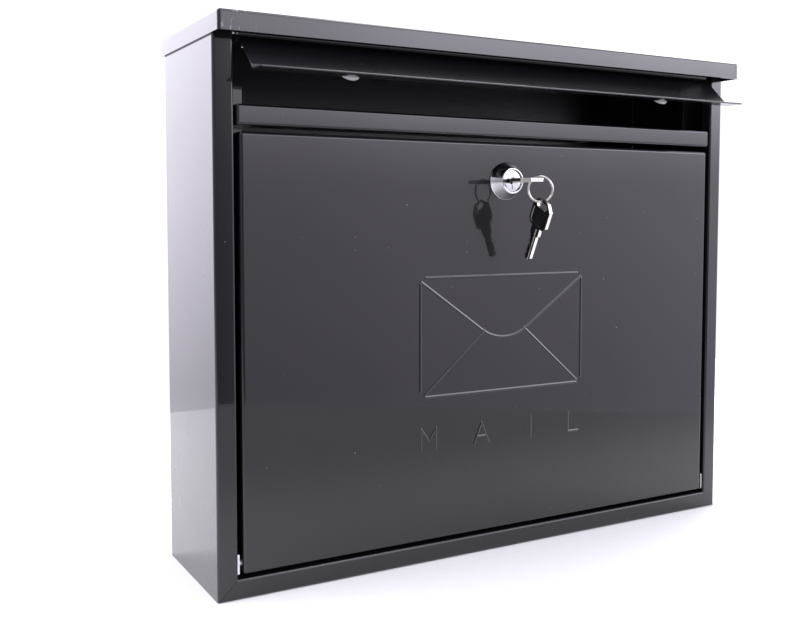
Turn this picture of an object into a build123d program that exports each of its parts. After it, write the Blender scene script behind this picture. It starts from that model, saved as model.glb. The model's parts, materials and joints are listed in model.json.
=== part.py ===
from build123d import *
import os
from math import cos, radians, sin

# Wall mounted steel mailbox with a letter flap, a bottom hinged front door and a cam lock.
# Units are millimetres. X runs along the width, -Y faces the street, +Z is up.
# Heights below are measured from the underside of the box. Every node is lowered by
# HOLE_CENTRE_HEIGHT when it is written, so the row's origin is the centre of the
# four wall holes, on the back face (Y = 0).

# ---------------------------------------------------------------- driving dimensions
WIDTH = 360.0                   # over the side walls
DEPTH = 90.0                    # wall plane to front flange
HEIGHT = 306.0                  # over the hood
SHEET = 1.0                     # thickness of the body, hood, door and flap sheet
HOLE_CENTRE_HEIGHT = 153.0      # centre of the wall holes above the underside

FLANGE = 11.0                   # width of the front flange, all round the door opening
FLANGE_RETURN = 8.0             # how far the flange's inner edge is folded back
FRONT_BEND = 2.0                # outer bend radius at the front edges
REAR_BEND = 3.0                 # outer bend radius at the two rear edges
WALL_HOLE_SPACING_X = 260.0
WALL_HOLE_SPACING_Z = 160.0
WALL_HOLE_R = 3.5

HOOD_OVERHANG = 12.5            # hood front face ahead of the front flange
HOOD_SKIRT = 10.5               # height of the hood's folded edge
HOOD_SIDE_GAP = 0.2             # between the hood's skirt and the side wall
HOOD_HEM = 4.0                  # height of the hem folded inside the front skirt

RAIL_WIDTH = 335.0              # fixed bar between the letter slot and the door
RAIL_BOTTOM = 250.2
RAIL_TOP = 261.0
RAIL_DEPTH = 16.0
BRACKET_WIDTH = 20.0            # inner brackets, out from the side wall
BRACKET_BOTTOM = 236.0

FLAP_WIDTH = 331.0
FLAP_PLATE = 30.1               # hinge axis to the bend
FLAP_LIP = 12.4                 # bend to the free edge
FLAP_REST_DROP = 43.0           # the plate's angle below horizontal at rest
FLAP_AXIS_INSET = 3.5           # hinge axis behind the front flange
FLAP_AXIS_HEIGHT = 297.5
FLAP_ROD_R = 1.5
RUNNING_CLEARANCE = 0.06        # radial, between a pin and the sheet that turns on it
BUFFER_R = 6.0
BUFFER_THICKNESS = 2.4
BUFFER_SPACING = 219.0
BUFFER_UP_PLATE = 5.5           # buffer centre above the bend, along the plate

DOOR_WIDTH = 332.4
DOOR_BOTTOM = 13.1
DOOR_TOP = 247.0
DOOR_RETURN = 10.0
DOOR_AXIS_INSET = 5.0           # hinge axis behind the door face
DOOR_AXIS_HEIGHT = 18.6
DOOR_PIN_R = 2.0
EAR_THICKNESS = 1.2             # hinge ears on the flange returns
EMBOSS_HEIGHT = 0.5
EMBOSS_WIDTH = 1.6
LETTER_STROKE = 1.5

LOCK_HEIGHT = 224.0
BEZEL_BASE_R = 11.2
BEZEL_NOSE_R = 7.9
BEZEL_PROUD = 8.0               # bezel nose ahead of the door face
BARREL_R = 8.4
PLUG_R = 6.4
PLUG_GAP = 0.08
KEYWAY_WIDTH = 8.0
CAM_REACH = 32.0                # lock axis to cam tip
CAM_THICKNESS = 1.6
CAM_CLEARANCE = 0.6             # cam behind the rail's lower return

KEY_THICKNESS = 2.0
BOW_WIDTH = 17.0
BOW_LENGTH = 16.5
BOW_SLOT = (10.0, 3.7)
BOW_SLOT_BACK = 3.2             # slot centre, back from the bow's outer rim
NECK_WIDTH = 8.0
NECK_LENGTH = 5.5
BLADE_WIDTH = 5.6
BLADE_LENGTH = 15.5
KEY_GAP = 2.5                   # key's neck ahead of the plug face
RING_R = 7.35                   # ring centre line
RING_WIRE_R = 0.6
RING_DROP = 5.35                # ring centre below the key's mid plane
RING_TURN = 18.0                # ring plane, turned from X towards -Y
RING_CROSSING_X = -1.0          # where the ring passes through the key in the lock
SPARE_LEAN = 26.0               # spare key's blade end swung towards the door
SPARE_HANG = 2.45               # ring wire below the top of the spare key's bow
SPARE_OFFSET = 3.7              # ring wire beside the spare key's centre line

# ---------------------------------------------------------------- derived places
FRONT = -DEPTH
HALF = WIDTH / 2
OPENING_HALF = HALF - FLANGE
WALL_TOP = HEIGHT - SHEET - HOOD_SIDE_GAP
RAIL_BACK = FRONT + RAIL_DEPTH
DOOR_HALF = DOOR_WIDTH / 2
FLAP_AXIS_Y = FRONT + FLAP_AXIS_INSET
DOOR_AXIS_Y = FRONT + DOOR_AXIS_INSET
CAM_FRONT = RAIL_BACK + CAM_CLEARANCE
NOSE_Y = FRONT - BEZEL_PROUD
PLUG_FACE_Y = NOSE_Y + 0.8


def save(node, shape):
    """Write one sub-part, lowered so that the origin is the centre of the wall holes."""
    export_step(Pos(0, 0, -HOLE_CENTRE_HEIGHT) * shape, f"parts/{node}.step")


def block(x0, x1, y0, y1, z0, z1):
    """A box between two corners."""
    box = Box(x1 - x0, y1 - y0, z1 - z0)
    return Pos((x0 + x1) / 2, (y0 + y1) / 2, (z0 + z1) / 2) * box


def rod_x(radius, x0, x1, y, z):
    """A round bar along X."""
    return Pos((x0 + x1) / 2, y, z) * Rot(0, 90, 0) * Cylinder(radius, abs(x1 - x0))


def rod_y(radius, y0, y1, x, z):
    """A round bar along Y."""
    return Pos(x, (y0 + y1) / 2, z) * Rot(90, 0, 0) * Cylinder(radius, abs(y1 - y0))


def folded(points, radii, plane, length):
    """A sheet folded along a path of points, thickened to its left, then extruded."""
    path = FilletPolyline(*points, radius=radii)
    section = make_face(offset(path, SHEET, side=Side.LEFT).edges())
    return extrude(plane * section, length)


def mirrored(shape):
    """The same piece on the other side of the box."""
    return mirror(shape, about=Plane.YZ)


# ---------------------------------------------------------------- body
def mitre_wedge():
    """The triangle below the 45 degree seam at the right hand lower front corner."""
    seam = Polyline((HALF + 1, -1), (OPENING_HALF - 1, FLANGE + 1), (OPENING_HALF - 1, -1), close=True)
    wedge = extrude(Plane.XZ * make_face(seam.edges()), FLANGE_RETURN + 1)
    return Pos(0, FRONT + FLANGE_RETURN + 0.5, 0) * wedge


def body_wrap():
    """Back and both sides folded from one sheet, with the two upright front flanges."""
    lip_y = FRONT + FLANGE_RETURN
    corners = [
        (-OPENING_HALF, lip_y), (-OPENING_HALF, FRONT), (-HALF, FRONT), (-HALF, 0),
        (HALF, 0), (HALF, FRONT), (OPENING_HALF, FRONT), (OPENING_HALF, lip_y),
    ]
    bends = [FRONT_BEND, FRONT_BEND, REAR_BEND, REAR_BEND, FRONT_BEND, FRONT_BEND]
    shell = folded(corners[::-1], bends, Plane.XY, WALL_TOP)
    wedge = mitre_wedge()
    shell = shell - wedge - mirrored(wedge)
    for x in (-WALL_HOLE_SPACING_X / 2, WALL_HOLE_SPACING_X / 2):
        for dz in (-WALL_HOLE_SPACING_Z / 2, WALL_HOLE_SPACING_Z / 2):
            shell -= rod_y(WALL_HOLE_R, -3, 1, x, HOLE_CENTRE_HEIGHT + dz)
    return shell


def base_pan():
    """Bottom sheet with its mitred front flange and three upturned weld tabs."""
    inner = HALF - SHEET - 0.1
    lip_y = FRONT + FLANGE_RETURN
    tab = 9.0
    rear = -SHEET - 0.1
    corners = [(lip_y, FLANGE), (FRONT, FLANGE), (FRONT, 0), (rear, 0), (rear, tab)]
    bends = [FRONT_BEND, FRONT_BEND, FRONT_BEND]
    section = folded(corners, bends, Plane.YZ, WIDTH)
    pan = Pos(-HALF, 0, 0) * section
    side_trim = block(inner, HALF + 1, lip_y, 1, -1, tab + 1)
    pan = pan - side_trim - mirrored(side_trim)
    wedge = mitre_wedge()
    corner = block(OPENING_HALF - 1, HALF + 1, FRONT - 1, lip_y, -1, FLANGE + 1) - wedge
    pan = pan - corner - mirrored(corner)
    notch = block(HALF - REAR_BEND - 1, HALF + 1, rear - 4, 1, -1, tab + 1)
    pan = pan - notch - mirrored(notch)
    upturn = block(inner - SHEET, inner, lip_y + 4, rear - 6, SHEET, tab)
    return pan + upturn + mirrored(upturn)


def hood():
    """Flat lid with a skirt on the front and both sides and a hem behind the front skirt."""
    half = HALF + HOOD_SIDE_GAP + SHEET
    front = FRONT - HOOD_OVERHANG
    bottom = HEIGHT - HOOD_SKIRT
    outer = block(-half, half, front, 0, bottom, HEIGHT)
    top_edges = outer.faces().sort_by(Axis.Z)[-1].edges()
    rounded = [e for e in top_edges if abs(e.center().Y) > 0.01]
    uprights = [e for e in outer.edges().filter_by(Axis.Z) if abs(e.center().Y) > 0.01]
    outer = fillet(rounded + uprights, 1.6)
    hollow = block(-half + SHEET, half - SHEET, front + SHEET, 1, bottom - 1, HEIGHT - SHEET)
    hem = block(-half + 3, half - 3, front + SHEET, front + 2 * SHEET - 0.1, bottom, bottom + HOOD_HEM)
    return outer - hollow + hem


def side_bracket():
    """Right hand L bracket inside the front corner, carrying the rail and the flap rod."""
    wall = HALF - SHEET
    plate = block(wall - SHEET, wall, RAIL_BACK, RAIL_BACK + 14, BRACKET_BOTTOM, WALL_TOP)
    face = block(wall - BRACKET_WIDTH, wall, RAIL_BACK, RAIL_BACK + SHEET, BRACKET_BOTTOM, WALL_TOP)
    eye_x = FLAP_WIDTH / 2 + 1
    top = FLAP_AXIS_HEIGHT + 4.5
    eye = block(eye_x, eye_x + SHEET, FLAP_AXIS_Y - 2.4, RAIL_BACK, FLAP_AXIS_HEIGHT - 4.5, top)
    eye -= rod_x(FLAP_ROD_R, eye_x - 1, eye_x + 2, FLAP_AXIS_Y, FLAP_AXIS_HEIGHT)
    return plate + face + eye


def slot_rail():
    """Folded channel below the letter slot, closed at both ends."""
    half = RAIL_WIDTH / 2
    bar = block(-half, half, FRONT, RAIL_BACK, RAIL_BOTTOM, RAIL_TOP)
    long_edges = [e for e in bar.edges().filter_by(Axis.X) if e.center().Y < FRONT + 1]
    bar = fillet(long_edges, 1.4)
    inner = block(-half + SHEET, half - SHEET, FRONT + SHEET, RAIL_BACK + 1,
                  RAIL_BOTTOM + SHEET, RAIL_TOP - SHEET)
    return bar - inner


# ---------------------------------------------------------------- letter flap
def flap_point(along, out):
    """A point on the flap's side view: along the plate from the axis, out of its front face."""
    drop = radians(FLAP_REST_DROP)
    y = FLAP_AXIS_Y - along * cos(drop) - out * sin(drop)
    z = FLAP_AXIS_HEIGHT - along * sin(drop) + out * cos(drop)
    return (y, z)


def letter_flap():
    """Flap sheet with a level finger lip and a rolled eye that turns on the rod."""
    eye_r = FLAP_ROD_R + RUNNING_CLEARANCE
    half = FLAP_WIDTH / 2
    bend_y, bend_z = flap_point(FLAP_PLATE, 0)
    start = flap_point(eye_r + 0.4, 0)
    path = FilletPolyline(start, (bend_y, bend_z), (bend_y - FLAP_LIP, bend_z), radius=2.0)
    section = make_face(offset(path, SHEET, side=Side.LEFT).edges())
    plate = Pos(-half, 0, 0) * extrude(Plane.YZ * section, FLAP_WIDTH)
    eye = rod_x(eye_r + SHEET, -half, half, FLAP_AXIS_Y, FLAP_AXIS_HEIGHT)
    bore = rod_x(eye_r, -half - 1, half + 1, FLAP_AXIS_Y, FLAP_AXIS_HEIGHT)
    return plate + eye - bore


def flap_buffer(x):
    """Clear round buffer stuck to the flap's inner face, just above the bend."""
    y, z = flap_point(FLAP_PLATE - BUFFER_UP_PLATE, -SHEET - BUFFER_THICKNESS / 2)
    disc = fillet(Cylinder(BUFFER_R, BUFFER_THICKNESS).edges(), 0.7)
    return Pos(x, y, z) * Rot(FLAP_REST_DROP, 0, 0) * disc


def flap_hinge_rod():
    """Steel rod through the flap's eye, held in the two bracket eyes."""
    half = OPENING_HALF - 0.4
    return rod_x(FLAP_ROD_R, -half, half, FLAP_AXIS_Y, FLAP_AXIS_HEIGHT)


# ---------------------------------------------------------------- door
def envelope():
    """Lines of a closed envelope: outline, round tipped flap and two lower folds."""
    half, top, bottom, gap = 58.5, 167.5, 98.0, 3.5
    slope = radians(35.3)
    tip_r, tip_bottom = 28.0, 130.3
    tip = CenterArc((0, tip_bottom + tip_r), tip_r, 270 - 35.3, 70.6)
    tangent = (tip_r * sin(slope), tip_bottom + tip_r * (1 - cos(slope)))
    fold = (14.5, 135.0)
    right = [
        Line((half, top - gap), (half, bottom + gap)),
        Line(tangent, (half - 0.6, top - 2.5)),
        Line(fold, (half - 3, bottom + 1.5)),
    ]
    left = [mirror(line, about=Plane.YZ) for line in right]
    level = [Line((-half + gap, z), (half - gap, z)) for z in (top, bottom)]
    return level + right + left + [tip]


def lettering():
    """Four plain, widely spaced capitals of a generic word, in straight strokes."""
    low, high, mid = 67.0, 79.5, 71.2
    strokes = [
        Polyline((-58, low), (-58, high), (-53, 72.5), (-48, high), (-48, low)),
        Polyline((-21.5, low), (-16.2, high), (-10.9, low)),
        Line((-19.6, mid), (-12.8, mid)),
        Line((20, low), (20, high)),
        Polyline((49, high), (49, low), (57, low)),
    ]
    return strokes


def door_panel():
    """Door pressed as a shallow pan, with the lock hole and the raised envelope."""
    y_back = FRONT + DOOR_RETURN
    pan = block(-DOOR_HALF, DOOR_HALF, FRONT, y_back, DOOR_BOTTOM, DOOR_TOP)
    front_edges = pan.faces().sort_by(Axis.Y)[0].edges()
    pan = fillet(front_edges + pan.edges().filter_by(Axis.Y), 2.0)
    pan -= block(-DOOR_HALF + SHEET, DOOR_HALF - SHEET, FRONT + SHEET, y_back + 1,
                 DOOR_BOTTOM + SHEET, DOOR_TOP - SHEET)
    pan -= rod_y(BARREL_R + 0.1, FRONT - 1, FRONT + 3, 0, LOCK_HEIGHT)
    pin_hole = DOOR_PIN_R + RUNNING_CLEARANCE
    right_hole = rod_x(pin_hole, DOOR_HALF - 3, DOOR_HALF + 1, DOOR_AXIS_Y, DOOR_AXIS_HEIGHT)
    pan = pan - right_hole - mirrored(right_hole)
    for lines, width in ((envelope(), EMBOSS_WIDTH), (lettering(), LETTER_STROKE)):
        for line in lines:
            ridge = extrude(Plane.XZ * trace(line, width), EMBOSS_HEIGHT + 0.2)
            pan += Pos(0, FRONT + 0.2, 0) * ridge
    return pan


def hinge_ear():
    """Right hand bright steel ear on the flange return that holds the door's pin."""
    x0 = OPENING_HALF - EAR_THICKNESS
    ear = block(x0, OPENING_HALF, FRONT + 1.5, FRONT + 10, DOOR_BOTTOM - 0.6, DOOR_BOTTOM + 11)
    ear = fillet(ear.edges().filter_by(Axis.X), 1.5)
    return ear - rod_x(DOOR_PIN_R, x0 - 1, OPENING_HALF + 1, DOOR_AXIS_Y, DOOR_AXIS_HEIGHT)


def hinge_pin():
    """Right hand door pin, fixed in the ear and reaching through the door's return."""
    x0 = DOOR_HALF - SHEET - 4
    return rod_x(DOOR_PIN_R, x0, OPENING_HALF, DOOR_AXIS_Y, DOOR_AXIS_HEIGHT)


# ---------------------------------------------------------------- lock
def lock_housing():
    """Chrome bezel in front of the door and the barrel behind it."""
    bezel = Cone(BEZEL_BASE_R, BEZEL_NOSE_R, BEZEL_PROUD)
    bezel = fillet(bezel.edges().sort_by(Axis.Z)[-1], 0.6)
    bezel = Pos(0, FRONT - BEZEL_PROUD / 2, LOCK_HEIGHT) * Rot(90, 0, 0) * bezel
    barrel = rod_y(BARREL_R, FRONT, CAM_FRONT - 0.4, 0, LOCK_HEIGHT)
    bore = rod_y(PLUG_R + PLUG_GAP, NOSE_Y - 1, CAM_FRONT + 1, 0, LOCK_HEIGHT)
    return bezel + barrel - bore


def lock_nut():
    """Hexagon nut that clamps the lock to the door sheet."""
    nut = extrude(RegularPolygon(11.0, 6, major_radius=False), 4.0)
    nut = Pos(0, FRONT + SHEET + 4.0, LOCK_HEIGHT) * Rot(90, 0, 0) * nut
    return nut - rod_y(BARREL_R + 0.05, FRONT, FRONT + 8, 0, LOCK_HEIGHT)


def lock_plug():
    """Plug that turns in the housing, with a level keyway and a square tail."""
    plug = rod_y(PLUG_R, PLUG_FACE_Y, CAM_FRONT - 0.2, 0, LOCK_HEIGHT)
    slot_half = KEYWAY_WIDTH / 2
    slot_t = KEY_THICKNESS / 2 + 0.2
    back = PLUG_FACE_Y + BLADE_LENGTH + 1.5
    plug -= block(-slot_half, slot_half, PLUG_FACE_Y - 1, back,
                  LOCK_HEIGHT - slot_t, LOCK_HEIGHT + slot_t)
    tail = block(-3, 3, CAM_FRONT - 0.2, CAM_FRONT + CAM_THICKNESS, LOCK_HEIGHT - 3, LOCK_HEIGHT + 3)
    return plug + tail


def lock_cam():
    """Flat cam on the plug's tail, lying level towards -X when the lock is open."""
    reach = CAM_REACH - 5.0
    blade = SlotCenterToCenter(reach, 12.0)
    plate = extrude(Pos(-reach / 2, 0) * blade, CAM_THICKNESS)
    plate = Pos(0, CAM_FRONT + CAM_THICKNESS, LOCK_HEIGHT) * Rot(90, 0, 0) * plate
    trim = block(-CAM_REACH - 20, -CAM_REACH, CAM_FRONT - 1, CAM_FRONT + 3,
                 LOCK_HEIGHT - 9, LOCK_HEIGHT + 9)
    fit = 3.05
    hole = block(-fit, fit, CAM_FRONT - 1, CAM_FRONT + 3, LOCK_HEIGHT - fit, LOCK_HEIGHT + fit)
    return plate - trim - hole


def cam_screw():
    """Cross head screw and washer face that hold the cam on the tail."""
    y0 = CAM_FRONT + CAM_THICKNESS
    head = rod_y(5.0, y0, y0 + 2.6, 0, LOCK_HEIGHT)
    head = fillet(head.edges().sort_by(Axis.Y)[-1], 1.0)
    for a, b in ((2.6, 0.5), (0.5, 2.6)):
        head -= block(-a, a, y0 + 1.4, y0 + 4, LOCK_HEIGHT - b, LOCK_HEIGHT + b)
    return head


# ---------------------------------------------------------------- keys
def key_blank():
    """A key lying in the XY plane: bow towards -Y, blade towards +Y, neck ending at Y = 0."""
    rim = -NECK_LENGTH - BOW_LENGTH
    bow = Pos(0, -NECK_LENGTH - BOW_LENGTH / 2) * Rectangle(BOW_WIDTH, BOW_LENGTH)
    bow = chamfer(bow.vertices().group_by(Axis.Y)[0], 4.0)
    bow = chamfer(bow.vertices().group_by(Axis.Y)[-1], 2.4)
    bow = fillet(bow.vertices(), 1.2)
    bow -= Pos(0, rim + BOW_SLOT_BACK) * SlotOverall(*BOW_SLOT)
    neck = Pos(0, -NECK_LENGTH / 2) * Rectangle(NECK_WIDTH, NECK_LENGTH + 1)
    half = BLADE_WIDTH / 2
    outline = Polyline(
        (-half, -1), (half, -1), (half, BLADE_LENGTH - 2), (half - 2, BLADE_LENGTH),
        (-half + 1.5, BLADE_LENGTH), (-half, BLADE_LENGTH - 1.5), close=True)
    blade = make_face(outline.edges())
    for step, depth in ((2.0, 1.0), (5.0, 1.6), (8.2, 0.8), (11.0, 1.2)):
        blade -= Pos(half, step + 0.9) * Rectangle(2 * depth, 1.8)
    key = extrude(bow + neck + blade, KEY_THICKNESS / 2, both=True)
    groove_z = KEY_THICKNESS / 2 - 0.6
    return key - block(-1.6, -0.6, -NECK_LENGTH + 1, BLADE_LENGTH + 1, groove_z, groove_z + 2)


def lock_key():
    """The key in the lock, lying level."""
    return Pos(0, PLUG_FACE_Y - KEY_GAP, LOCK_HEIGHT) * key_blank()


def ring_frame():
    """Ring centre and the level direction in the ring's plane."""
    turn = radians(RING_TURN)
    across = Vector(cos(turn), -sin(turn), 0)
    rim_y = PLUG_FACE_Y - KEY_GAP - NECK_LENGTH - BOW_LENGTH
    crossing = Vector(RING_CROSSING_X, rim_y + BOW_SLOT_BACK, LOCK_HEIGHT)
    reach = (RING_R ** 2 - RING_DROP ** 2) ** 0.5
    centre = crossing + across * reach - Vector(0, 0, RING_DROP)
    return centre, across


def key_ring():
    """Wire ring through the bow's slot, hanging over its outer edge."""
    centre, across = ring_frame()
    normal = across.cross(Vector(0, 0, 1))
    return Plane(origin=centre, z_dir=normal) * Torus(RING_R, RING_WIRE_R)


def spare_key():
    """Second key, hanging square to the door from the bottom of the ring."""
    centre, _ = ring_frame()
    upright = Rot(-90, 0, 0) * key_blank()
    wire_height = NECK_LENGTH + BOW_LENGTH - SPARE_HANG
    hung = Rot(0, 0, 90) * Pos(-SPARE_OFFSET, 0, -wire_height) * upright
    return Pos(*(centre - Vector(0, 0, RING_R))) * Rot(SPARE_LEAN, 0, 0) * hung


def main():
    os.makedirs("parts", exist_ok=True)
    save("body_wrap", body_wrap())
    save("base_pan", base_pan())
    save("hood", hood())
    save("slot_rail", slot_rail())
    pairs = {
        "side_bracket": side_bracket(),
        "door_hinge_ear": hinge_ear(),
        "door_hinge_pin": hinge_pin(),
    }
    for name, right_hand in pairs.items():
        save(f"{name}_right", right_hand)
        save(f"{name}_left", mirrored(right_hand))
    save("flap_hinge_rod", flap_hinge_rod())
    save("letter_flap", letter_flap())
    save("flap_buffer_left", flap_buffer(-BUFFER_SPACING / 2))
    save("flap_buffer_right", flap_buffer(BUFFER_SPACING / 2))
    save("door_panel", door_panel())
    save("lock_housing", lock_housing())
    save("lock_nut", lock_nut())
    save("lock_plug", lock_plug())
    save("lock_cam", lock_cam())
    save("cam_screw", cam_screw())
    save("lock_key", lock_key())
    save("key_ring", key_ring())
    save("spare_key", spare_key())


main()
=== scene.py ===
import json
from math import cos, pi, radians, sin, sqrt, tan

import bmesh
import bpy
from mathutils import Matrix, Vector


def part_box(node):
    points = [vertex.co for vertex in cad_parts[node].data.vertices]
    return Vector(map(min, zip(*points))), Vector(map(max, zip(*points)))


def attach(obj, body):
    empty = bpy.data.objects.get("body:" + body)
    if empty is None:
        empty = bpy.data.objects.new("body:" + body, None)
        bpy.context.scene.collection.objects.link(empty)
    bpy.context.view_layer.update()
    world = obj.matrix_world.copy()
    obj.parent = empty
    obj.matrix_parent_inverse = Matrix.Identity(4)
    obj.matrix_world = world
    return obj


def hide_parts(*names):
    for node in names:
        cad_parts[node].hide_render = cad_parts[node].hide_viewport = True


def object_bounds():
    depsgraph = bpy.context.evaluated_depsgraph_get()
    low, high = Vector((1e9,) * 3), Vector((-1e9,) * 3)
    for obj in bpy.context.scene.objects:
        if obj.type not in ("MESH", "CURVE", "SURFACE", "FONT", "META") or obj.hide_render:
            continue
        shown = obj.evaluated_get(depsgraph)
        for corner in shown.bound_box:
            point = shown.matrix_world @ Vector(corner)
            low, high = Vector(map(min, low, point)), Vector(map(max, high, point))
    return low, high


# Looks of a black painted steel wall mailbox: folded sheets with rolled edges, a pressed
# envelope on the door, a chrome cam lock and two keys on a split ring.
# Shapes are worked out in millimetres in the CAD frame and written to Blender in metres.
# Nothing here is random.

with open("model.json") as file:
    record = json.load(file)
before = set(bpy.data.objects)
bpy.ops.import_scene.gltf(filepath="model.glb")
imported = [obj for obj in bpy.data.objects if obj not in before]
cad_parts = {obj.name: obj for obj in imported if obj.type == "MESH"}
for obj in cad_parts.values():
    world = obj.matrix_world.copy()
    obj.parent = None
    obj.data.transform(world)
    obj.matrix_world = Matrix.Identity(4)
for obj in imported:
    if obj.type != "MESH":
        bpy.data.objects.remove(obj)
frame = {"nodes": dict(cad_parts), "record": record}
cad_low, cad_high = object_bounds()

MM = 0.001
SHEET = 1.0                 # steel sheet
RIM = 0.14                  # broken edge of cut sheet
BEND_STEPS = 10             # faces round a bend
SHARP = radians(32)         # edges sharper than this are broken
MERGE = 1e-7                # points closer than this are one point, in metres


def box(node):
    """Lowest and highest corner of a CAD node, in millimetres."""
    low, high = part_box(node)
    return low / MM, high / MM


# ---------------------------------------------------------------- geometry
def quarter_left(v):
    """A plane vector turned a quarter to the left."""
    return Vector((-v.y, v.x))


def arc(centre, start, turn, steps):
    """Points from start round a centre through a signed angle."""
    spoke = start - centre
    points = []
    for i in range(steps + 1):
        a = turn * i / steps
        points.append(centre + Vector((spoke.x * cos(a) - spoke.y * sin(a),
                                       spoke.x * sin(a) + spoke.y * cos(a))))
    return points


def round_corner(before, corner, after, radius, steps=BEND_STEPS):
    """The arc that replaces one corner of an outline."""
    a = (before - corner).normalized()
    b = (after - corner).normalized()
    half = a.angle(b) / 2
    centre = corner + (a + b).normalized() * (radius / sin(half))
    start = corner + a * (radius / tan(half))
    side = 1 if a.x * b.y - a.y * b.x < 0 else -1
    return arc(centre, start, side * (pi - 2 * half), steps)


def rounded_path(points, radii, steps=BEND_STEPS):
    """An open path whose inner corners are bends."""
    points = [Vector(p) for p in points]
    path = [points[0]]
    for i, radius in enumerate(radii, start=1):
        path += round_corner(points[i - 1], points[i], points[i + 1], radius, steps)
    return path + [points[-1]]


def rounded_loop(points, radius, steps=5):
    """A closed outline whose corners are rounded."""
    points = [Vector(p) for p in points]
    loop = []
    for i, corner in enumerate(points):
        after = points[(i + 1) % len(points)]
        loop += round_corner(points[i - 1], corner, after, radius, steps)
    return loop


def offset_path(path, distance):
    """The same path, moved to its left."""
    moved = []
    for i, point in enumerate(path):
        sides = []
        if i > 0:
            sides.append(quarter_left(point - path[i - 1]).normalized())
        if i < len(path) - 1:
            sides.append(quarter_left(path[i + 1] - point).normalized())
        middle = (sides[0] + sides[-1]).normalized()
        moved.append(point + middle * (distance / middle.dot(sides[0])))
    return moved


def make_object(name, points, faces):
    """A mesh object from points in millimetres, with its faces turned outwards."""
    shape = bmesh.new()
    verts = [shape.verts.new(Vector(p) * MM) for p in points]
    for face in faces:
        shape.faces.new([verts[i] for i in face])
    bmesh.ops.remove_doubles(shape, verts=shape.verts, dist=MERGE)
    bmesh.ops.recalc_face_normals(shape, faces=shape.faces)
    mesh = bpy.data.meshes.new(name)
    shape.to_mesh(mesh)
    shape.free()
    obj = bpy.data.objects.new(name, mesh)
    bpy.context.scene.collection.objects.link(obj)
    return obj


def folded_sheet(name, path, place, ends, spans=1, thickness=SHEET):
    """A folded sheet. The path is one face in side view and the other lies to its left.
    place(u, v, w) puts a point in the frame and ends(u, v) gives the two ends along w."""
    sides = (path, offset_path(path, thickness))
    count = len(path)
    points = []
    for side in sides:
        for u, v in side:
            low, high = ends(u, v)
            points += [place(u, v, low + (high - low) * k / spans) for k in range(spans + 1)]

    def at(side, i, k):
        return (side * count + i) * (spans + 1) + k

    faces = []
    for i in range(count - 1):
        for k in range(spans):
            faces.append([at(0, i, k), at(0, i + 1, k), at(0, i + 1, k + 1), at(0, i, k + 1)])
            faces.append([at(1, i, k), at(1, i, k + 1), at(1, i + 1, k + 1), at(1, i + 1, k)])
        for k in (0, spans):
            faces.append([at(0, i, k), at(1, i, k), at(1, i + 1, k), at(0, i + 1, k)])
    for i in (0, count - 1):
        for k in range(spans):
            faces.append([at(0, i, k), at(0, i, k + 1), at(1, i, k + 1), at(1, i, k)])
    return make_object(name, points, faces)


def block(name, low, high):
    """A box between two corners."""
    points = [(x, y, z) for x in (low[0], high[0])
              for y in (low[1], high[1]) for z in (low[2], high[2])]
    faces = [(0, 1, 3, 2), (4, 6, 7, 5), (0, 4, 5, 1), (2, 3, 7, 6), (0, 2, 6, 4), (1, 5, 7, 3)]
    return make_object(name, points, faces)


def rod(name, radius, start, end, sides=40):
    """A round bar between two points on a line along one axis."""
    start, end = Vector(start), Vector(end)
    turn = (end - start).to_track_quat("Z", "Y").to_matrix()
    points = []
    for centre in (start, end):
        for i in range(sides):
            a = 2 * pi * i / sides
            points.append(centre + turn @ Vector((radius * cos(a), radius * sin(a), 0)))
    ring = range(sides)
    faces = [[i, (i + 1) % sides, sides + (i + 1) % sides, sides + i] for i in ring]
    return make_object(name, points, faces + [list(ring), [sides + i for i in ring]])


def lathe(name, profile, x, z, sides=96):
    """A solid turned about a line along Y: the profile is a closed list of (radius, y)."""
    points = []
    for radius, y in profile:
        for i in range(sides):
            a = 2 * pi * i / sides
            points.append((x + radius * cos(a), y, z + radius * sin(a)))
    faces = []
    for j in range(len(profile)):
        following = (j + 1) % len(profile)
        if profile[j][0] == 0 and profile[following][0] == 0:
            continue
        for i in range(sides):
            after = (i + 1) % sides
            faces.append([j * sides + i, j * sides + after,
                          following * sides + after, following * sides + i])
    return turned(name, points, faces)


def turned(name, points, faces):
    """Like make_object, with faces at the axis closed up after their points are merged."""
    obj = make_object(name, points, faces)
    shape = bmesh.new()
    shape.from_mesh(obj.data)
    bmesh.ops.dissolve_degenerate(shape, edges=shape.edges, dist=MERGE)
    bmesh.ops.recalc_face_normals(shape, faces=shape.faces)
    shape.to_mesh(obj.data)
    shape.free()
    return obj


def bake(obj):
    """Keep the mesh that the modifiers give, and drop the modifiers."""
    graph = bpy.context.evaluated_depsgraph_get()
    mesh = bpy.data.meshes.new_from_object(obj.evaluated_get(graph))
    obj.modifiers.clear()
    obj.data = mesh
    return obj


def cut(obj, cutters, operation="DIFFERENCE"):
    """Cut shapes out of an object, or unite them with it, and delete the cutters."""
    for cutter in cutters:
        step = obj.modifiers.new("cut", "BOOLEAN")
        step.operation = operation
        step.solver = "EXACT"
        step.object = cutter
    bake(obj)
    for cutter in cutters:
        bpy.data.objects.remove(cutter, do_unlink=True)
    return obj


def join(obj, others):
    """Add other closed shapes to an object's mesh."""
    shape = bmesh.new()
    for part in [obj] + others:
        shape.from_mesh(part.data)
    shape.to_mesh(obj.data)
    shape.free()
    for part in others:
        bpy.data.objects.remove(part, do_unlink=True)
    return obj


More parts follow.
